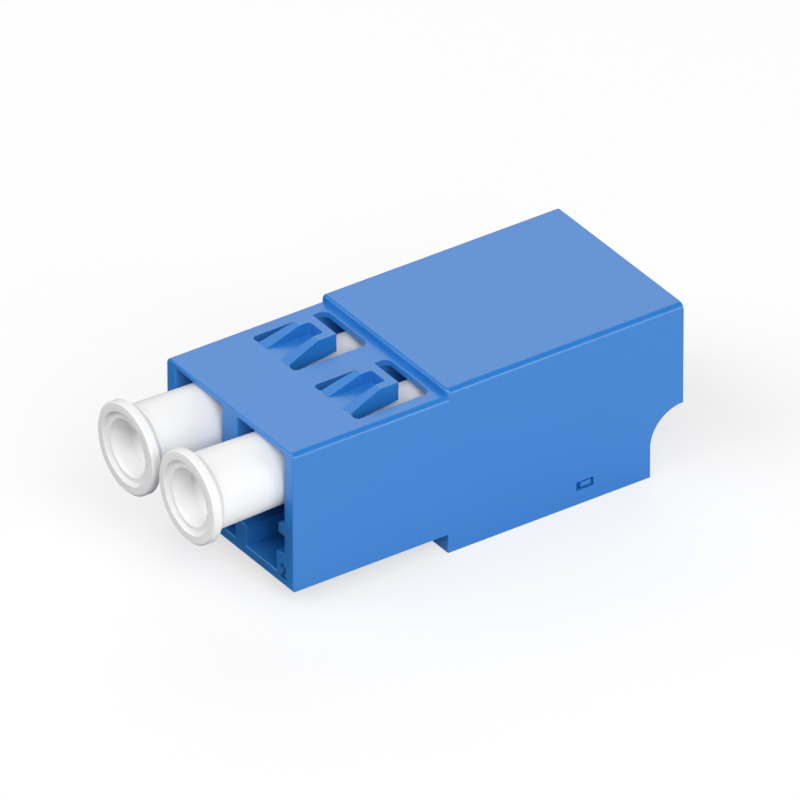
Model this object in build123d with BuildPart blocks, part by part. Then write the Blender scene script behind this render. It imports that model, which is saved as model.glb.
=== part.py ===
from build123d import *
import os

# Duplex fibre adapter in millimetres.
# X runs across the two ports, Y from the capped front ports to the open rear ports, Z up.
# The origin is the centre of the face that the body rests on.

# Outer body: a slim front section that passes through a panel, and a taller rear section
body_length = 27.1
front_length = 10.7
bottom_step = 1.25
top_step = 0.47
side_wall = 0.925
long_edge_radius = 0.4
step_edge_radius = 0.2
front_edge_radius = 0.1

# Finger notch across the lower rear corner
notch_radius = 2.3
notch_straight = 2.0

# Port section, the same at both ends
plug_size = 4.7
port_wall = 1.55
roof_thickness = 0.37
ledge_width = 0.62
ledge_height = 0.88
ledge_length = 4.2
latch_height = 1.15
slot_width = 3.0
slot_depth = 1.5
floor_thickness = 0.65
shelf_fall = 0.2
clip_slot_width = 0.94
clip_slot_length = 5.0
clip_joint_overlap = 0.1

# Sprung panel tongues in windows of the front section's roof
window_side_lip = 0.15
window_length = 5.15
window_to_step = 0.42
window_corner_radius = 0.5
slot_end_radius = 0.3
tongue_side_gap = 0.68
tongue_tip_gap = 1.6
tongue_taper = 0.29
tongue_kink = 2.3
tongue_rise = 0.75
tongue_tip_height = 1.18
tongue_belly_drop = 0.14
tongue_belly_length = 1.1
tongue_root_slope = 0.3
tongue_rim = 0.53
pocket_fall = 0.23
pocket_corner_radius = 0.2

# Rear insert, which slides in from the rear under the plug cavities and snaps into the sides
insert_side_wall = 0.5
insert_bottom_wall = 0.5
insert_gap = 0.05
web_thickness = 1.2
groove_width = 2.2
snap_window_from_rear = 7.46
snap_window_length = 1.19
snap_window_bottom = 0.95
snap_window_height = 0.57
nub_gap = 0.13
nub_recess = 0.06
nub_ramp = 0.2

# Alignment sleeves and the barrels that carry them
sleeve_length = 6.8
sleeve_bore = 1.249
sleeve_wall = 0.19
sleeve_slot = 0.3
sleeve_radial_gap = 0.06
sleeve_end_gap = 0.05
barrel_wall = 0.575
barrel_lip = 0.4
barrel_chamfer = 0.15
lead_in_width = 0.225
lead_in_angle = 23

# Dust caps
cap_tube_gap = 0.02
cap_flange_lip = 0.54
cap_flange_thickness = 0.62
cap_reach = 5.08
cap_neck_width = 0.35
cap_neck_length = 0.4
cap_tip_wall = 0.45
cap_tip_chamfer = 0.15
cap_tip_gap = 0.35
cap_bore_gap = 0.05
cap_web = 1.1
cap_ring_width = 0.59
cap_dish_step = 0.06
cap_dish_slope = 0.23
cap_dish_depth = 0.18
cap_dish_floor = 0.25
cap_countersink = 0.2
cap_hole_depth = 1.23
cap_edge_chamfer = 0.1

# Stations along Y
rest_length = body_length - front_length - notch_radius
front_y = -front_length - rest_length / 2
step_y = front_y + front_length
rear_y = front_y + body_length
middle_y = (front_y + rear_y) / 2
plate_y = middle_y - web_thickness
web_back_y = middle_y + web_thickness

# Levels along Z
front_bottom = bottom_step
floor_top = front_bottom + floor_thickness
shelf_top = floor_top + slot_depth
ledge_bottom = shelf_top + latch_height
cavity_bottom = ledge_bottom + ledge_height
port_axis = cavity_bottom + plug_size / 2
cavity_top = cavity_bottom + plug_size
front_top = cavity_top + roof_thickness
rear_height = front_top + top_step

# Sizes worked out from the others
port_pitch = plug_size + port_wall
port_centres = [-port_pitch / 2, port_pitch / 2]
half_plug = plug_size / 2
body_width = port_pitch + plug_size + 2 * side_wall
window_start = front_length - window_to_step - window_length
window_width = plug_size - 2 * window_side_lip
tongue_length = window_length - tongue_tip_gap
tongue_root_width = window_width - 2 * tongue_side_gap
tongue_tip_width = tongue_root_width - 2 * tongue_taper
pocket_width = tongue_tip_width - 2 * tongue_rim
pocket_length = tongue_length - tongue_rim
bay_width = body_width - 2 * insert_side_wall
insert_width = bay_width - 2 * insert_gap
insert_bottom = insert_bottom_wall + insert_gap
insert_top = cavity_bottom - insert_gap
lobe_width = plug_size - 2 * insert_gap
lobe_top = cavity_top - insert_gap
lobe_bottom = ledge_bottom
sleeve_outer = sleeve_bore + 2 * sleeve_wall
seat_diameter = sleeve_outer + 2 * sleeve_radial_gap
barrel_diameter = seat_diameter + 2 * barrel_wall
barrel_mouth = sleeve_bore + 2 * lead_in_width
barrel_end = sleeve_length / 2 + sleeve_end_gap + barrel_lip

# Margin within which an edge or corner counts as lying at a place
pick = 0.01


def station(y):
    """Plane across the body at a place along it, with X to the right and Z up."""
    return Plane(origin=(0, y, 0), x_dir=(1, 0, 0), z_dir=(0, -1, 0))


def port_axis_frame(x):
    """Plane at the port's axis and the front face, with local X downwards and local Y rearwards."""
    return Plane(origin=(x, front_y, port_axis), x_dir=(0, 0, -1), z_dir=(1, 0, 0))


# Section of the latch way below one plug cavity
with BuildSketch() as latch_section:
    with BuildLine():
        Polyline(
            (0, cavity_bottom),
            (half_plug, cavity_bottom),
            (half_plug - ledge_width, cavity_bottom - shelf_fall),
            (half_plug - ledge_width, ledge_bottom),
            (half_plug, ledge_bottom),
            (half_plug, shelf_top),
            (slot_width / 2, shelf_top - shelf_fall),
            (slot_width / 2, floor_top),
            (0, floor_top),
        )
        mirror(about=Plane.YZ)
    make_face()

# One sprung tongue above the roof, centred on X
tongue_root_y = front_y + window_start
tongue_tip_y = tongue_root_y + tongue_length
tongue_top = front_top + tongue_rise
tongue_tip_bottom = tongue_top - tongue_tip_height
with BuildPart() as tongue:
    with BuildSketch(Plane.YZ):
        Polygon(
            (tongue_root_y, front_top),
            (tongue_root_y + tongue_kink, tongue_top),
            (tongue_tip_y, tongue_top),
            (tongue_tip_y, tongue_tip_bottom),
            (tongue_tip_y - tongue_belly_length, tongue_tip_bottom - tongue_belly_drop),
            (tongue_root_y + tongue_root_slope, tongue_tip_bottom - tongue_belly_drop),
            (tongue_root_y, cavity_top),
            align=None,
        )
    extrude(amount=tongue_root_width / 2, both=True)
    with BuildSketch(Plane.XY.offset(cavity_top - tongue_tip_height)) as tongue_plan:
        with BuildLine():
            Polyline(
                (0, tongue_root_y),
                (tongue_root_width / 2, tongue_root_y),
                (tongue_tip_width / 2, tongue_root_y + tongue_kink),
                (tongue_tip_width / 2, tongue_tip_y),
                (0, tongue_tip_y),
            )
            mirror(about=Plane.YZ)
        make_face()
    extrude(amount=tongue_rise + 2 * tongue_tip_height, mode=Mode.INTERSECT)
    with BuildSketch(Plane.YZ):
        Polygon(
            (tongue_root_y, front_top),
            (tongue_root_y + pocket_length, front_top - pocket_fall),
            (tongue_root_y + pocket_length, tongue_top + tongue_rise),
            (tongue_root_y, tongue_top + tongue_rise),
            align=None,
        )
    extrude(amount=pocket_width / 2, both=True, mode=Mode.SUBTRACT)
    pocket_back = tongue.edges().filter_by(Axis.Z).filter_by_position(
        Axis.Y, tongue_root_y + pocket_length - pick, tongue_root_y + pocket_length + pick
    )
    fillet(pocket_back, radius=pocket_corner_radius)

# Housing: one moulding with the front ports, the roof windows and the bay for the insert
with BuildPart() as housing:
    with BuildSketch(Plane.YZ):
        with BuildLine():
            Polyline(
                (rear_y - notch_radius, notch_straight),
                (rear_y - notch_radius, 0),
                (step_y, 0),
                (step_y, front_bottom),
                (front_y, front_bottom),
                (front_y, front_top),
                (step_y, front_top),
                (step_y, rear_height),
                (rear_y, rear_height),
                (rear_y, notch_straight + notch_radius),
            )
            RadiusArc(
                (rear_y, notch_straight + notch_radius),
                (rear_y - notch_radius, notch_straight),
                -notch_radius,
            )
        make_face()
    extrude(amount=body_width / 2, both=True)
    side_edges = housing.edges().filter_by(Axis.Y)
    long_edges = side_edges.filter_by_position(Axis.Z, front_top - pick, rear_height + pick)
    fillet(long_edges, radius=long_edge_radius)
    step_edges = housing.edges().filter_by_position(Axis.Y, step_y - pick, step_y + pick)
    fillet(step_edges.sort_by(Axis.Z)[-3:], radius=step_edge_radius)

    # Plug cavities run right through, one for each port
    with BuildSketch(station(front_y)):
        with Locations(*[(x, port_axis) for x in port_centres]):
            Rectangle(plug_size, plug_size)
    extrude(amount=-body_length, mode=Mode.SUBTRACT)

    # Latch ways of the front ports
    with BuildSketch(station(front_y)):
        with Locations(*[(x, 0) for x in port_centres]):
            add(latch_section.sketch)
    extrude(amount=front_y - plate_y, mode=Mode.SUBTRACT)

    # Catch space behind the ledges
    with BuildSketch(station(front_y + ledge_length)):
        with Locations(*[(x, (cavity_bottom + ledge_bottom) / 2) for x in port_centres]):
            Rectangle(plug_size, ledge_height)
    extrude(amount=front_y + ledge_length - plate_y, mode=Mode.SUBTRACT)

    # Slot between the two latch ways for the clip that joins a pair of plugs
    with BuildSketch(station(front_y)):
        with Locations((0, (floor_top + ledge_bottom) / 2)):
            Rectangle(clip_slot_width, ledge_bottom - floor_top)
        with Locations((0, (shelf_top + ledge_bottom) / 2)):
            Rectangle(port_pitch - plug_size + clip_joint_overlap, latch_height)
    extrude(amount=-clip_slot_length, mode=Mode.SUBTRACT)

    # Small radius round the front face and the mouths of its ports
    front_edges = housing.edges().filter_by_position(Axis.Y, front_y - pick, front_y + pick)
    fillet(front_edges, radius=front_edge_radius)

    # Bay for the insert below the plug cavities
    with BuildSketch(station(plate_y)):
        with Locations((0, (insert_bottom_wall + cavity_bottom) / 2)):
            Rectangle(bay_width, cavity_bottom - insert_bottom_wall)
    extrude(amount=plate_y - rear_y, mode=Mode.SUBTRACT)

    # Roof windows, each leaving its tongue as a flat tab
    with BuildSketch(Plane.XY.offset(cavity_top)) as windows:
        for x in port_centres:
            with Locations((x, front_y + window_start + window_length / 2)):
                Rectangle(window_width, window_length)
        fillet(windows.vertices().group_by(Axis.Y)[-1], radius=window_corner_radius)
        for x in port_centres:
            with BuildSketch(mode=Mode.SUBTRACT):
                with Locations((x, 0)):
                    add(tongue_plan.sketch)
        fillet(windows.vertices().group_by(Axis.Y)[0], radius=slot_end_radius)
    extrude(amount=roof_thickness, mode=Mode.SUBTRACT)
    with Locations(*[(x, 0, 0) for x in port_centres]):
        add(tongue.part)

    # Snap windows in both side walls
    with BuildSketch(Plane.YZ):
        with Locations(
            (
                rear_y - snap_window_from_rear + snap_window_length / 2,
                snap_window_bottom + snap_window_height / 2,
            )
        ):
            Rectangle(snap_window_length, snap_window_height)
    extrude(amount=body_width, both=True, mode=Mode.SUBTRACT)
housing.part.label = "housing"

# Insert: tray under the rear plug cavities, web with two lobes, and the rear barrels
with BuildPart() as rear_insert:
    with BuildSketch(station(middle_y)):
        with Locations((0, (insert_bottom + insert_top) / 2)):
            Rectangle(insert_width, insert_top - insert_bottom)
    extrude(amount=middle_y - rear_y)

    # Latch ways of the rear ports, with the catch space between their ledges and the web
    with BuildSketch(station(rear_y)):
        with Locations(*[(x, 0) for x in port_centres]):
            add(latch_section.sketch)
    extrude(amount=rear_y - web_back_y, mode=Mode.SUBTRACT)
    with BuildSketch(station(rear_y - ledge_length)):
        with Locations(*[(x, (cavity_bottom + ledge_bottom) / 2) for x in port_centres]):
            Rectangle(plug_size, ledge_height)
    extrude(amount=rear_y - ledge_length - web_back_y, mode=Mode.SUBTRACT)
    with BuildSketch(station(rear_y)):
        with Locations((0, (floor_top + ledge_bottom) / 2)):
            Rectangle(clip_slot_width, ledge_bottom - floor_top)
        with Locations((0, (shelf_top + ledge_bottom) / 2)):
            Rectangle(port_pitch - plug_size + clip_joint_overlap, latch_height)
    extrude(amount=clip_slot_length, mode=Mode.SUBTRACT)

    # Grooves that keep the tray's floor an even thickness
    with BuildSketch(station(middle_y)):
        with Locations((0, insert_bottom)):
            with GridLocations(port_pitch / 2, 1, 4, 1):
                Rectangle(groove_width, 2 * (front_bottom - insert_bottom))
    extrude(amount=middle_y - rear_y, mode=Mode.SUBTRACT)

    # Web lobes that close the plug cavities, and the rear barrels
    with BuildSketch(station(middle_y)):
        with Locations(*[(x, (lobe_bottom + lobe_top) / 2) for x in port_centres]):
            Rectangle(lobe_width, lobe_top - lobe_bottom)
        with Locations((0, (insert_bottom + insert_top) / 2)):
            Rectangle(insert_width, insert_top - insert_bottom)
    extrude(amount=-web_thickness)
    with BuildSketch(station(middle_y)):
        with Locations(*[(x, port_axis) for x in port_centres]):
            Circle(barrel_diameter / 2)
    extrude(amount=-barrel_end)
    barrel_rim = rear_insert.edges().filter_by(GeomType.CIRCLE).group_by(Axis.Y)[-1]
    chamfer(barrel_rim, length=barrel_chamfer)
    with BuildSketch(station(middle_y)):
        with Locations(*[(x, port_axis) for x in port_centres]):
            Circle(seat_diameter / 2)
    extrude(amount=-(sleeve_length / 2 + sleeve_end_gap), mode=Mode.SUBTRACT)
    with BuildSketch(station(middle_y + barrel_end)):
        with Locations(*[(x, port_axis) for x in port_centres]):
            Circle(barrel_mouth / 2)
    extrude(amount=barrel_lip, taper=lead_in_angle, mode=Mode.SUBTRACT)

    # Finger notch, in line with the housing's
    with BuildSketch(Plane.YZ):
        with BuildLine():
            Polyline(
                (rear_y - notch_radius, notch_straight),
                (rear_y - notch_radius, 0),
                (rear_y, 0),
                (rear_y, notch_straight + notch_radius),
            )
            RadiusArc(
                (rear_y, notch_straight + notch_radius),
                (rear_y - notch_radius, notch_straight),
                -notch_radius,
            )
        make_face()
    extrude(amount=body_width, both=True, mode=Mode.SUBTRACT)

    # Ramped nubs that snap into the housing's side windows
    nub_depth = insert_side_wall + insert_gap - nub_recess
    nub_front = rear_y - snap_window_from_rear + nub_gap
    nub_back = nub_front + snap_window_length - 2 * nub_gap
    with BuildSketch(Plane.XY.offset(snap_window_bottom + nub_gap)):
        with BuildLine():
            Polyline(
                (insert_width / 2, nub_front),
                (insert_width / 2 + nub_depth, nub_front + nub_ramp),
                (insert_width / 2 + nub_depth, nub_back),
                (insert_width / 2, nub_back),
                close=True,
            )
        make_face()
        mirror(about=Plane.YZ)
    extrude(amount=snap_window_height - 2 * nub_gap)
rear_insert.part.label = "rear_insert"

# Sleeve holder: plate with the front barrels, held between the housing and the insert's web
with BuildPart() as sleeve_holder:
    with BuildSketch(station(middle_y)):
        with Locations(*[(x, (lobe_bottom + lobe_top) / 2) for x in port_centres]):
            Rectangle(lobe_width, lobe_top - lobe_bottom)
        with Locations((0, (insert_bottom + insert_top) / 2)):
            Rectangle(insert_width, insert_top - insert_bottom)
    extrude(amount=web_thickness)
    with BuildSketch(station(middle_y)):
        with Locations(*[(x, port_axis) for x in port_centres]):
            Circle(barrel_diameter / 2)
    extrude(amount=barrel_end)
    barrel_rim = sleeve_holder.edges().filter_by(GeomType.CIRCLE).group_by(Axis.Y)[0]
    chamfer(barrel_rim, length=barrel_chamfer)
    with BuildSketch(station(middle_y)):
        with Locations(*[(x, port_axis) for x in port_centres]):
            Circle(seat_diameter / 2)
    extrude(amount=sleeve_length / 2 + sleeve_end_gap, mode=Mode.SUBTRACT)
    with BuildSketch(station(middle_y - barrel_end)):
        with Locations(*[(x, port_axis) for x in port_centres]):
            Circle(barrel_mouth / 2)
    extrude(amount=-barrel_lip, taper=lead_in_angle, mode=Mode.SUBTRACT)
sleeve_holder.part.label = "sleeve_holder"

# Section of a dust cap: local X is the radius, local Y the distance behind the front face
cap_face = -cap_reach
cap_neck = cap_face + cap_flange_thickness
cap_tip = plate_y - front_y - cap_tip_gap
cap_bore_radius = barrel_diameter / 2 + cap_bore_gap
cap_tip_radius = cap_bore_radius + cap_tip_wall
cap_tube_radius = half_plug - cap_tube_gap
cap_flange_radius = cap_tube_radius + cap_flange_lip
cap_dish_radius = cap_flange_radius - cap_ring_width
cap_lip_radius = cap_dish_radius - cap_dish_slope - cap_dish_floor
cap_hole_radius = cap_lip_radius - cap_countersink
cap_dish = cap_face + cap_dish_depth
cap_hole_floor = cap_dish + cap_hole_depth
with BuildSketch() as cap_section:
    with BuildLine():
        Polyline(
            (0, cap_hole_floor),
            (cap_hole_radius, cap_hole_floor),
            (cap_hole_radius, cap_dish + cap_countersink),
            (cap_lip_radius, cap_dish),
            (cap_lip_radius + cap_dish_floor, cap_dish),
            (cap_dish_radius, cap_face + cap_dish_step),
            (cap_dish_radius, cap_face),
            (cap_flange_radius, cap_face),
            (cap_flange_radius, cap_neck),
            (cap_tube_radius + cap_neck_width, cap_neck),
            (cap_tube_radius, cap_neck + cap_neck_length),
            (cap_tip_radius, cap_tip - cap_tip_chamfer),
            (cap_tip_radius - cap_tip_chamfer, cap_tip),
            (cap_bore_radius, cap_tip),
            (cap_bore_radius, cap_hole_floor + cap_web),
            (0, cap_hole_floor + cap_web),
            close=True,
        )
    make_face()
    chamfer(cap_section.vertices().group_by(Axis.X)[-1], length=cap_edge_chamfer)

# Section of an alignment sleeve: local X is the radius, local Y the distance from the middle
with BuildSketch() as sleeve_section:
    with Locations(((sleeve_bore + sleeve_wall) / 2, 0)):
        Rectangle(sleeve_wall, sleeve_length)

# The caps and sleeves are made once for each port
os.makedirs("parts", exist_ok=True)
for side, x in zip(["left", "right"], port_centres):
    with BuildPart() as dust_cap:
        with BuildSketch(port_axis_frame(x)):
            add(cap_section.sketch)
        revolve(axis=Axis((x, front_y, port_axis), (0, 1, 0)))
    dust_cap.part.label = "dust_cap_" + side
    export_step(dust_cap.part, "parts/" + dust_cap.part.label + ".step")

    with BuildPart() as split_sleeve:
        with BuildSketch(Plane(origin=(x, middle_y, port_axis))):
            add(sleeve_section.sketch)
        revolve(axis=Axis((x, middle_y, port_axis), (0, 1, 0)))
        with BuildSketch(station(middle_y)):
            with Locations((x, port_axis + sleeve_outer / 2)):
                Rectangle(sleeve_slot, sleeve_outer)
        extrude(amount=sleeve_length, both=True, mode=Mode.SUBTRACT)
    split_sleeve.part.label = "split_sleeve_" + side
    export_step(split_sleeve.part, "parts/" + split_sleeve.part.label + ".step")

for piece in (housing, rear_insert, sleeve_holder):
    export_step(piece.part, "parts/" + piece.part.label + ".step")
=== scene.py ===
import math

import bmesh
import bpy
from bpy.props import FloatProperty, FloatVectorProperty, PointerProperty
from mathutils import Matrix, Vector


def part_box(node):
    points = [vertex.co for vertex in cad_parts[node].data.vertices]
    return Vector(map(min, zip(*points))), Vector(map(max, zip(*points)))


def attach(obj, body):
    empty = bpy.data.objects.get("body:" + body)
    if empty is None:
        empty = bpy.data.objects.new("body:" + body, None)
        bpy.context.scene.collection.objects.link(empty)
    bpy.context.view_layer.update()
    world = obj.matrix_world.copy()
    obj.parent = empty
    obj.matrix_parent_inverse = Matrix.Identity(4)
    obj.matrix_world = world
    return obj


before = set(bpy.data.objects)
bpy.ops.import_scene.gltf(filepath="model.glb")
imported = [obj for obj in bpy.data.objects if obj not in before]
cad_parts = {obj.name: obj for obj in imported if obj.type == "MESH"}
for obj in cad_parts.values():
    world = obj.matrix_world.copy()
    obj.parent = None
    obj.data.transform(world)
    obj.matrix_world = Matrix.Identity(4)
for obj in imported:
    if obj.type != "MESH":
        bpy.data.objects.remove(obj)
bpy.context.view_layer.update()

bl_info = {
    "name": "Duplex Fibre Adapter",
    "version": (1, 0, 0),
    "blender": (4, 5, 0),
    "location": "View3D > Sidebar > Adapter",
    "description": "Moulded finishes, port numbers, stage and camera for a duplex fibre adapter",
    "category": "Object",
}

MM = 0.001

# Nodes of the frame, by the material that they are made of
BLUE_NODES = ("housing", "rear_insert", "sleeve_holder")
CAP_NODES = ("dust_cap_left", "dust_cap_right")
SLEEVE_NODES = ("split_sleeve_left", "split_sleeve_right")

# Underside of the front section above the resting face
FRONT_FOOT = 1.25 * MM

# A digit's share of its type size, the steps in its curves, and the distance at which its points are joined
DIGIT_SHARE = 0.69
DIGIT_STEPS = 8
DIGIT_WELD = 0.0001 * MM

# Moulded surface: detail and breakup of the grain, scale and detail of the slow drift, and the
# drift's middle value and its effect on the roughness
GRAIN_DETAIL = 3.0
GRAIN_BREAKUP = 0.55
DRIFT_SCALE = 160.0
DRIFT_DETAIL = 2.0
DRIFT_MIDDLE = 0.5
SHEEN_SPREAD = 0.08

# Scale of the ceramic's mottle
MOTTLE_SCALE = 4000.0

# Half the floor's side, and the direction in which the painted shade on the floor, which the part alone
# sees, turns into the plain floor
FLOOR_HALF_SIDE = 3.0
PAINTED_SHADE_DIRECTION = (0.95, 0.3, 0.0)

# Camera sensor in millimetres, and the nearest and farthest distance that it sees
SENSOR_WIDTH = 36.0
NEAR_LIMIT = 0.05
FAR_LIMIT = 20.0

# Soft lamps: name, place in metres, width in metres and power in watts
LAMPS = (
    ("key", (0.4, -0.43, 0.75), 0.5, 1.8),
    ("front", (-0.1, -0.6, 0.65), 0.5, 3.1),
    ("low_left", (-0.5, -0.75, 0.25), 0.45, 2.0),
    ("right", (0.7, -0.12, 0.6), 0.45, 3.6),
    ("low_right", (0.75, -0.5, 0.25), 0.45, 0.7),
    ("edge", (0.8, 0.44, 0.25), 0.3, 1.6),
    ("sheen", (-0.55, 0.38, 0.43), 0.72, 2.35),
)


class BluePlastic(bpy.types.PropertyGroup):
    """Finish of the blue mouldings."""

    colour: FloatVectorProperty(
        name="Colour", description="Base colour of the blue plastic", subtype="COLOR",
        size=3, min=0.0, max=1.0, default=(0.024, 0.212, 0.63),
    )
    roughness: FloatProperty(
        name="Roughness", description="Mean roughness of the satin surface",
        subtype="FACTOR", min=0.0, max=1.0, default=0.3,
    )
    gloss: FloatProperty(
        name="Gloss", description="Strength of the surface's reflection",
        subtype="FACTOR", min=0.0, max=1.0, default=0.6,
    )
    grain_size: FloatProperty(
        name="Grain size", description="Width of one grain of the mould's texture",
        subtype="DISTANCE", unit="LENGTH", precision=6, default=0.09 * MM,
    )
    grain_height: FloatProperty(
        name="Grain height", description="Height of the mould's texture",
        subtype="DISTANCE", unit="LENGTH", precision=6, default=0.0012 * MM,
    )
    drift: FloatProperty(
        name="Tone drift", description="Slow change of tone over the moulding",
        subtype="FACTOR", min=0.0, max=1.0, default=0.04,
    )


class CapPlastic(bpy.types.PropertyGroup):
    """Finish of the white dust caps."""

    colour: FloatVectorProperty(
        name="Colour", description="Base colour of the soft white plastic", subtype="COLOR",
        size=3, min=0.0, max=1.0, default=(0.94, 0.94, 0.94),
    )
    roughness: FloatProperty(
        name="Roughness", description="Mean roughness of the soft plastic",
        subtype="FACTOR", min=0.0, max=1.0, default=0.5,
    )
    gloss: FloatProperty(
        name="Gloss", description="Strength of the surface's reflection",
        subtype="FACTOR", min=0.0, max=1.0, default=0.4,
    )
    glow: FloatProperty(
        name="Glow", description="Share of the light that spreads inside the plastic",
        subtype="FACTOR", min=0.0, max=1.0, default=0.3,
    )
    glow_reach: FloatProperty(
        name="Glow reach", description="How far the light spreads inside the plastic",
        subtype="DISTANCE", unit="LENGTH", precision=6, default=0.7 * MM,
    )
    grain_size: FloatProperty(
        name="Grain size", description="Width of one grain of the mould's texture",
        subtype="DISTANCE", unit="LENGTH", precision=6, default=0.12 * MM,
    )
    grain_height: FloatProperty(
        name="Grain height", description="Height of the mould's texture",
        subtype="DISTANCE", unit="LENGTH", precision=6, default=0.001 * MM,
    )
    drift: FloatProperty(
        name="Tone drift", description="Slow change of tone over the cap",
        subtype="FACTOR", min=0.0, max=1.0, default=0.02,
    )


class SleeveCeramic(bpy.types.PropertyGroup):
    """Finish of the split sleeves."""

    dark_colour: FloatVectorProperty(
        name="Dark colour", description="Darker tone of the ceramic's mottle", subtype="COLOR",
        size=3, min=0.0, max=1.0, default=(0.84, 0.83, 0.78),
    )
    light_colour: FloatVectorProperty(
        name="Light colour", description="Lighter tone of the ceramic's mottle", subtype="COLOR",
        size=3, min=0.0, max=1.0, default=(0.9, 0.9, 0.87),
    )
    least_roughness: FloatProperty(
        name="Least roughness", description="Roughness of the best polished spots",
        subtype="FACTOR", min=0.0, max=1.0, default=0.12,
    )
    most_roughness: FloatProperty(
        name="Most roughness", description="Roughness of the least polished spots",
        subtype="FACTOR", min=0.0, max=1.0, default=0.22,
    )
    refraction: FloatProperty(
        name="Refraction", description="Refractive index of zirconia",
        min=1.0, max=3.0, default=2.1,
    )


class PortNumbers(bpy.types.PropertyGroup):
    """Plain numbers on the front face, one beside each port."""

    colour: FloatVectorProperty(
        name="Colour", description="Base colour of the darker blue digits", subtype="COLOR",
        size=3, min=0.0, max=1.0, default=(0.005, 0.075, 0.27),
    )
    height: FloatProperty(
        name="Height", description="Height of a digit",
        subtype="DISTANCE", unit="LENGTH", precision=6, default=0.85 * MM,
    )
    rise: FloatProperty(
        name="Rise", description="How far a digit stands proud of the face",
        subtype="DISTANCE", unit="LENGTH", precision=6, default=0.05 * MM,
    )
    stroke: FloatProperty(
        name="Stroke", description="How much a digit's strokes are thickened on each side",
        subtype="DISTANCE", unit="LENGTH", precision=6, default=0.02 * MM,
    )
    side_gap: FloatProperty(
        name="Side gap", description="From the housing's side to the middle of a digit",
        subtype="DISTANCE", unit="LENGTH", precision=6, default=0.95 * MM,
    )
    foot_gap: FloatProperty(
        name="Foot gap", description="From the front section's underside to the foot of a digit",
        subtype="DISTANCE", unit="LENGTH", precision=6, default=0.55 * MM,
    )


class StageSettings(bpy.types.PropertyGroup):
    """Camera, floor and the light from all round."""

    camera_place: FloatVectorProperty(
        name="Camera place", description="Where the camera stands", subtype="TRANSLATION",
        unit="LENGTH", size=3, precision=5, default=(0.89473, -0.62027, 0.69929),
    )
    camera_target: FloatVectorProperty(
        name="Camera target", description="Point in the middle of the picture",
        subtype="TRANSLATION", unit="LENGTH", size=3, precision=6,
        default=(-0.001787, -0.00475, 0.005256),
    )
    camera_roll: FloatProperty(
        name="Camera roll", description="Turn of the camera about its line of sight",
        subtype="ANGLE", unit="ROTATION", default=math.radians(-0.0913),
    )
    lens: FloatProperty(
        name="Lens", description="Focal length in millimetres on a 36 mm sensor",
        default=1012.3,
    )
    floor_colour: FloatVectorProperty(
        name="Floor colour", description="Colour of the floor as the camera sees it, before the lift",
        subtype="COLOR", size=3, min=0.0, max=1.0, default=(0.38, 0.38, 0.38),
    )
    floor_lift: FloatProperty(
        name="Floor lift", description="What the camera adds to the floor to see it near white",
        default=0.64,
    )
    # Floor as the part sees it: the dark card below is painted shade, a darker floor colour left of and in
    # front of the part that stands in for the shade there and darkens the light and reflections the part
    # gets from it
    floor_bounce: FloatProperty(
        name="Floor bounce", description="Tone of the lit floor, right and behind, as the part sees it",
        subtype="FACTOR", min=0.0, max=1.0, default=0.9,
    )
    # Tone of the painted shade on the floor
    floor_painted_shade: FloatProperty(
        name="Floor shade", description="Tone of the dark card, left and in front, as the part sees it",
        subtype="FACTOR", min=0.0, max=1.0, default=0.08,
    )
    # Where the painted shade on the floor ends, and how softly
    painted_shade_edge: FloatProperty(
        name="Shade edge", description="From the part's origin to the middle of the card's soft edge",
        subtype="DISTANCE", unit="LENGTH", precision=4, default=1.0 * MM,
    )
    painted_shade_reach: FloatProperty(
        name="Shade reach", description="Distance over which the dark card turns into the lit floor",
        subtype="DISTANCE", unit="LENGTH", precision=4, default=6.0 * MM,
    )
    sky_level: FloatProperty(
        name="Sky level", description="Light from all round", default=0.0,
    )


def linked(tree, source, target):
    """Links an output socket to an input socket."""
    tree.links.new(source, target)


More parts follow.
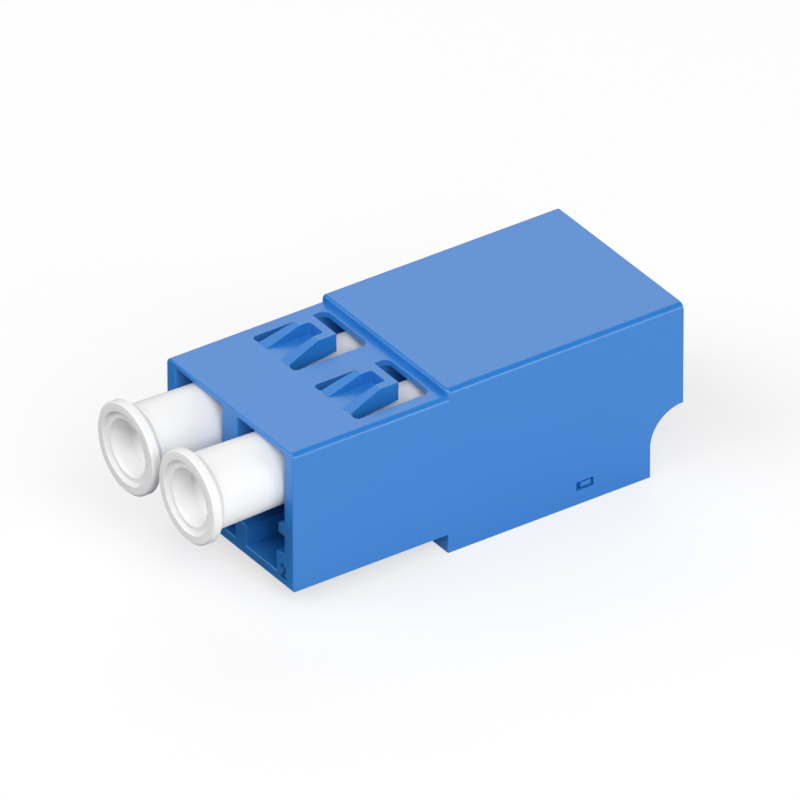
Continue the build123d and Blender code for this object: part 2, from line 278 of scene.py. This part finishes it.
def moulded_surface_group():
    """Shader node group: fine mould grain, slow tone drift and uneven sheen, on Object coordinates."""
    name = "Moulded surface"
    if name in bpy.data.node_groups:
        return bpy.data.node_groups[name]
    group = bpy.data.node_groups.new(name, "ShaderNodeTree")
    sockets = group.interface
    sockets.new_socket("Colour", in_out="INPUT", socket_type="NodeSocketColor")
    sockets.new_socket("Roughness", in_out="INPUT", socket_type="NodeSocketFloat")
    sockets.new_socket("Grain scale", in_out="INPUT", socket_type="NodeSocketFloat")
    sockets.new_socket("Drift", in_out="INPUT", socket_type="NodeSocketFloat")
    sockets.new_socket("Colour", in_out="OUTPUT", socket_type="NodeSocketColor")
    sockets.new_socket("Roughness", in_out="OUTPUT", socket_type="NodeSocketFloat")
    sockets.new_socket("Height", in_out="OUTPUT", socket_type="NodeSocketFloat")

    nodes = group.nodes
    entry = nodes.new("NodeGroupInput")
    leave = nodes.new("NodeGroupOutput")
    place = nodes.new("ShaderNodeTexCoord")

    grain = nodes.new("ShaderNodeTexNoise")
    grain.inputs["Detail"].default_value = GRAIN_DETAIL
    grain.inputs["Roughness"].default_value = GRAIN_BREAKUP
    linked(group, place.outputs["Object"], grain.inputs["Vector"])
    linked(group, entry.outputs["Grain scale"], grain.inputs["Scale"])
    linked(group, grain.outputs["Fac"], leave.inputs["Height"])

    flow = nodes.new("ShaderNodeTexNoise")
    flow.inputs["Scale"].default_value = DRIFT_SCALE
    flow.inputs["Detail"].default_value = DRIFT_DETAIL
    linked(group, place.outputs["Object"], flow.inputs["Vector"])

    spread = nodes.new("ShaderNodeMath")
    spread.operation = "SUBTRACT"
    spread.inputs[1].default_value = DRIFT_MIDDLE
    linked(group, flow.outputs["Fac"], spread.inputs[0])
    tone = nodes.new("ShaderNodeMath")
    tone.operation = "MULTIPLY_ADD"
    tone.inputs[2].default_value = 1.0
    linked(group, spread.outputs["Value"], tone.inputs[0])
    linked(group, entry.outputs["Drift"], tone.inputs[1])
    shade = nodes.new("ShaderNodeHueSaturation")
    linked(group, entry.outputs["Colour"], shade.inputs["Color"])
    linked(group, tone.outputs["Value"], shade.inputs["Value"])
    linked(group, shade.outputs["Color"], leave.inputs["Colour"])

    sheen = nodes.new("ShaderNodeMath")
    sheen.operation = "MULTIPLY_ADD"
    sheen.inputs[1].default_value = SHEEN_SPREAD
    linked(group, spread.outputs["Value"], sheen.inputs[0])
    linked(group, entry.outputs["Roughness"], sheen.inputs[2])
    linked(group, sheen.outputs["Value"], leave.inputs["Roughness"])
    return group


def moulded_material(name, finish, colour):
    """Satin moulded plastic in a colour, with a property group's gloss, roughness and grain."""
    material = bpy.data.materials.new(name)
    material.use_nodes = True
    tree = material.node_tree
    shader = tree.nodes["Principled BSDF"]
    shader.inputs["Specular IOR Level"].default_value = finish.gloss
    surface = tree.nodes.new("ShaderNodeGroup")
    surface.node_tree = moulded_surface_group()
    surface.inputs["Colour"].default_value = (*colour, 1.0)
    surface.inputs["Roughness"].default_value = finish.roughness
    surface.inputs["Grain scale"].default_value = 1.0 / finish.grain_size
    surface.inputs["Drift"].default_value = finish.drift
    bump = tree.nodes.new("ShaderNodeBump")
    bump.inputs["Distance"].default_value = finish.grain_height
    linked(tree, surface.outputs["Colour"], shader.inputs["Base Color"])
    linked(tree, surface.outputs["Roughness"], shader.inputs["Roughness"])
    linked(tree, surface.outputs["Height"], bump.inputs["Height"])
    linked(tree, bump.outputs["Normal"], shader.inputs["Normal"])
    return material


def ceramic_material(finish):
    """Polished zirconia with a faint mottle."""
    material = bpy.data.materials.new("Polished zirconia")
    material.use_nodes = True
    tree = material.node_tree
    shader = tree.nodes["Principled BSDF"]
    shader.inputs["IOR"].default_value = finish.refraction
    place = tree.nodes.new("ShaderNodeTexCoord")
    mottle = tree.nodes.new("ShaderNodeTexNoise")
    mottle.inputs["Scale"].default_value = MOTTLE_SCALE
    tint = tree.nodes.new("ShaderNodeMix")
    tint.data_type = "RGBA"
    tint.inputs["A"].default_value = (*finish.dark_colour, 1.0)
    tint.inputs["B"].default_value = (*finish.light_colour, 1.0)
    polish = tree.nodes.new("ShaderNodeMapRange")
    polish.inputs["To Min"].default_value = finish.least_roughness
    polish.inputs["To Max"].default_value = finish.most_roughness
    linked(tree, place.outputs["Object"], mottle.inputs["Vector"])
    linked(tree, mottle.outputs["Fac"], tint.inputs["Factor"])
    linked(tree, mottle.outputs["Fac"], polish.inputs["Value"])
    linked(tree, tint.outputs["Result"], shader.inputs["Base Color"])
    linked(tree, polish.outputs["Result"], shader.inputs["Roughness"])
    return material


def dress(node_names, material):
    """Gives nodes of the frame one material."""
    for name in node_names:
        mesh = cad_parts[name].data
        mesh.materials.clear()
        mesh.materials.append(material)


class ADAPTER_OT_blue_mouldings(bpy.types.Operator):
    """Finish the housing, the rear insert and the sleeve holder in blue plastic"""

    bl_idname = "adapter.blue_mouldings"
    bl_label = "Blue mouldings"

    def execute(self, context):
        finish = context.scene.adapter_blue
        dress(BLUE_NODES, moulded_material("Blue satin plastic", finish, finish.colour))
        return {"FINISHED"}


def raised_digit(context, digit, numbers, place):
    """Mesh of one digit, drawn as type, stood upright and moved to its place on the front face."""
    outline = bpy.data.curves.new("port_number_" + digit, "FONT")
    outline.body = digit
    outline.align_x = "CENTER"
    outline.size = numbers.height / DIGIT_SHARE
    outline.extrude = numbers.rise
    outline.offset = numbers.stroke
    outline.resolution_u = DIGIT_STEPS
    drawn = bpy.data.objects.new("drawn_" + digit, outline)
    context.scene.collection.objects.link(drawn)
    context.view_layer.update()
    mesh = bpy.data.meshes.new_from_object(drawn)
    bpy.data.objects.remove(drawn)
    bpy.data.curves.remove(outline)
    upright = Matrix.Rotation(math.radians(90.0), 4, "X")
    form = bmesh.new()
    form.from_mesh(mesh)
    bmesh.ops.remove_doubles(form, verts=form.verts, dist=DIGIT_WELD)
    bmesh.ops.transform(form, matrix=Matrix.Translation(place) @ upright, verts=form.verts)
    bmesh.ops.recalc_face_normals(form, faces=form.faces)
    form.to_mesh(mesh)
    form.free()
    return mesh


class ADAPTER_OT_port_numbers(bpy.types.Operator):
    """Add a plain raised number beside each front port"""

    bl_idname = "adapter.port_numbers"
    bl_label = "Port numbers"

    def execute(self, context):
        numbers = context.scene.adapter_numbers
        material = moulded_material("Dark blue marking", context.scene.adapter_blue, numbers.colour)
        low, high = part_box("housing")
        foot = FRONT_FOOT + numbers.foot_gap
        for digit, across in (("1", low[0] + numbers.side_gap), ("2", high[0] - numbers.side_gap)):
            mesh = raised_digit(context, digit, numbers, (across, low[1], foot))
            mesh.materials.clear()
            mesh.materials.append(material)
            piece = bpy.data.objects.new("port_number_" + digit, mesh)
            context.scene.collection.objects.link(piece)
            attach(piece, "adapter")
        return {"FINISHED"}


class ADAPTER_OT_dust_caps(bpy.types.Operator):
    """Finish the two dust caps in soft white plastic"""

    bl_idname = "adapter.dust_caps"
    bl_label = "Dust caps"

    def execute(self, context):
        finish = context.scene.adapter_cap
        material = moulded_material("Soft white plastic", finish, finish.colour)
        shader = material.node_tree.nodes["Principled BSDF"]
        shader.inputs["Subsurface Weight"].default_value = finish.glow
        shader.inputs["Subsurface Radius"].default_value = (1.0, 1.0, 1.0)
        shader.inputs["Subsurface Scale"].default_value = finish.glow_reach
        dress(CAP_NODES, material)
        return {"FINISHED"}


class ADAPTER_OT_sleeves(bpy.types.Operator):
    """Finish the split sleeves in polished zirconia"""

    bl_idname = "adapter.sleeves"
    bl_label = "Split sleeves"

    def execute(self, context):
        dress(SLEEVE_NODES, ceramic_material(context.scene.adapter_ceramic))
        return {"FINISHED"}


def floor_material(stage):
    """Floor near white to the camera, with the part's shadow, and to the part a painted shade at its left,
    a darker floor colour standing in for the shade there.
    """
    material = bpy.data.materials.new("Pale floor")
    material.use_nodes = True
    tree = material.node_tree
    tree.nodes.clear()
    out = tree.nodes.new("ShaderNodeOutputMaterial")

    # What the part sees: painted shade with a soft edge, a darker floor colour standing in for the shade
    # left of and in front of the part, then the floor at its own pale tone
    floor_with_painted_shade = tree.nodes.new("ShaderNodeBsdfDiffuse")
    place = tree.nodes.new("ShaderNodeTexCoord")
    along = tree.nodes.new("ShaderNodeVectorMath")
    along.operation = "DOT_PRODUCT"
    along.inputs[1].default_value = PAINTED_SHADE_DIRECTION
    tone = tree.nodes.new("ShaderNodeMapRange")
    tone.inputs["From Min"].default_value = stage.painted_shade_edge - stage.painted_shade_reach / 2
    tone.inputs["From Max"].default_value = stage.painted_shade_edge + stage.painted_shade_reach / 2
    tone.inputs["To Min"].default_value = stage.floor_painted_shade
    tone.inputs["To Max"].default_value = stage.floor_bounce
    linked(tree, place.outputs["Object"], along.inputs[0])
    linked(tree, along.outputs["Value"], tone.inputs["Value"])
    linked(tree, tone.outputs["Result"], floor_with_painted_shade.inputs["Color"])

    # What the camera sees: an even floor with the shadow on it, lifted to near white
    shown = tree.nodes.new("ShaderNodeBsdfDiffuse")
    shown.inputs["Color"].default_value = (*stage.floor_colour, 1.0)
    lift = tree.nodes.new("ShaderNodeEmission")
    lift.inputs["Strength"].default_value = stage.floor_lift
    lifted = tree.nodes.new("ShaderNodeAddShader")
    linked(tree, shown.outputs["BSDF"], lifted.inputs[0])
    linked(tree, lift.outputs["Emission"], lifted.inputs[1])

    path = tree.nodes.new("ShaderNodeLightPath")
    pick = tree.nodes.new("ShaderNodeMixShader")
    linked(tree, path.outputs["Is Camera Ray"], pick.inputs["Fac"])
    linked(tree, floor_with_painted_shade.outputs["BSDF"], pick.inputs[1])
    linked(tree, lifted.outputs["Shader"], pick.inputs[2])
    linked(tree, pick.outputs["Shader"], out.inputs["Surface"])
    return material


def area_lamp(name, place, width, power):
    """Square lamp that faces the part."""
    lamp = bpy.data.lights.new(name, "AREA")
    lamp.shape = "SQUARE"
    lamp.size = width
    lamp.energy = power
    holder = bpy.data.objects.new(name, lamp)
    holder.location = place
    holder.rotation_euler = (-Vector(place)).to_track_quat("-Z", "Y").to_euler()
    bpy.context.scene.collection.objects.link(holder)


def plain_world(level):
    """World that gives even light from all round, and that the camera sees as white."""
    world = bpy.data.worlds.new("Studio")
    bpy.context.scene.world = world
    world.use_nodes = True
    tree = world.node_tree
    tree.nodes.clear()
    out = tree.nodes.new("ShaderNodeOutputWorld")
    lit = tree.nodes.new("ShaderNodeBackground")
    lit.inputs["Strength"].default_value = level
    white = tree.nodes.new("ShaderNodeBackground")
    white.inputs["Strength"].default_value = 1.0
    white.inputs["Color"].default_value = (1.0, 1.0, 1.0, 1.0)
    path = tree.nodes.new("ShaderNodeLightPath")
    pick = tree.nodes.new("ShaderNodeMixShader")
    linked(tree, path.outputs["Is Camera Ray"], pick.inputs["Fac"])
    linked(tree, lit.outputs["Background"], pick.inputs[1])
    linked(tree, white.outputs["Background"], pick.inputs[2])
    linked(tree, pick.outputs["Shader"], out.inputs["Surface"])


class ADAPTER_OT_stage(bpy.types.Operator):
    """Add the floor, the soft studio light and the camera"""

    bl_idname = "adapter.stage"
    bl_label = "Stage"

    def execute(self, context):
        stage = context.scene.adapter_stage
        mesh = bpy.data.meshes.new("floor")
        form = bmesh.new()
        bmesh.ops.create_grid(form, x_segments=1, y_segments=1, size=FLOOR_HALF_SIDE)
        form.to_mesh(mesh)
        form.free()
        floor = bpy.data.objects.new("floor", mesh)
        context.scene.collection.objects.link(floor)
        mesh.materials.append(floor_material(stage))

        plain_world(stage.sky_level)
        for lamp in LAMPS:
            area_lamp(*lamp)

        lens = bpy.data.cameras.new("camera")
        lens.sensor_width = SENSOR_WIDTH
        lens.lens = stage.lens
        lens.clip_start = NEAR_LIMIT
        lens.clip_end = FAR_LIMIT
        camera = bpy.data.objects.new("camera", lens)
        sight = Vector(stage.camera_target) - Vector(stage.camera_place)
        turn = sight.to_track_quat("-Z", "Y").to_matrix().to_4x4()
        roll = Matrix.Rotation(stage.camera_roll, 4, "Z")
        camera.matrix_world = Matrix.Translation(stage.camera_place) @ turn @ roll
        context.scene.collection.objects.link(camera)
        context.scene.camera = camera
        context.scene.view_settings.view_transform = "Standard"
        return {"FINISHED"}


class ADAPTER_PT_panel(bpy.types.Panel):
    """Pieces of the adapter"""

    bl_label = "Fibre adapter"
    bl_idname = "ADAPTER_PT_panel"
    bl_space_type = "VIEW_3D"
    bl_region_type = "UI"
    bl_category = "Adapter"

    def draw(self, context):
        for operator in OPERATORS:
            self.layout.operator(operator.bl_idname)
        for group in GROUPS:
            settings = getattr(context.scene, group)
            box = self.layout.box()
            for name in settings.bl_rna.properties.keys():
                if name not in ("rna_type", "name"):
                    box.prop(settings, name)


OPERATORS = (
    ADAPTER_OT_blue_mouldings,
    ADAPTER_OT_port_numbers,
    ADAPTER_OT_dust_caps,
    ADAPTER_OT_sleeves,
    ADAPTER_OT_stage,
)
GROUPS = {
    "adapter_blue": BluePlastic,
    "adapter_numbers": PortNumbers,
    "adapter_cap": CapPlastic,
    "adapter_ceramic": SleeveCeramic,
    "adapter_stage": StageSettings,
}


def register():
    for name, group in GROUPS.items():
        bpy.utils.register_class(group)
        setattr(bpy.types.Scene, name, PointerProperty(type=group))
    for operator in OPERATORS:
        bpy.utils.register_class(operator)
    bpy.utils.register_class(ADAPTER_PT_panel)


def unregister():
    bpy.utils.unregister_class(ADAPTER_PT_panel)
    for operator in reversed(OPERATORS):
        bpy.utils.unregister_class(operator)
    for name, group in GROUPS.items():
        delattr(bpy.types.Scene, name)
        bpy.utils.unregister_class(group)


def main():
    register()
    bpy.ops.adapter.blue_mouldings()
    bpy.ops.adapter.port_numbers()
    bpy.ops.adapter.dust_caps()
    bpy.ops.adapter.sleeves()
    bpy.ops.adapter.stage()


if __name__ == "__main__":
    main()
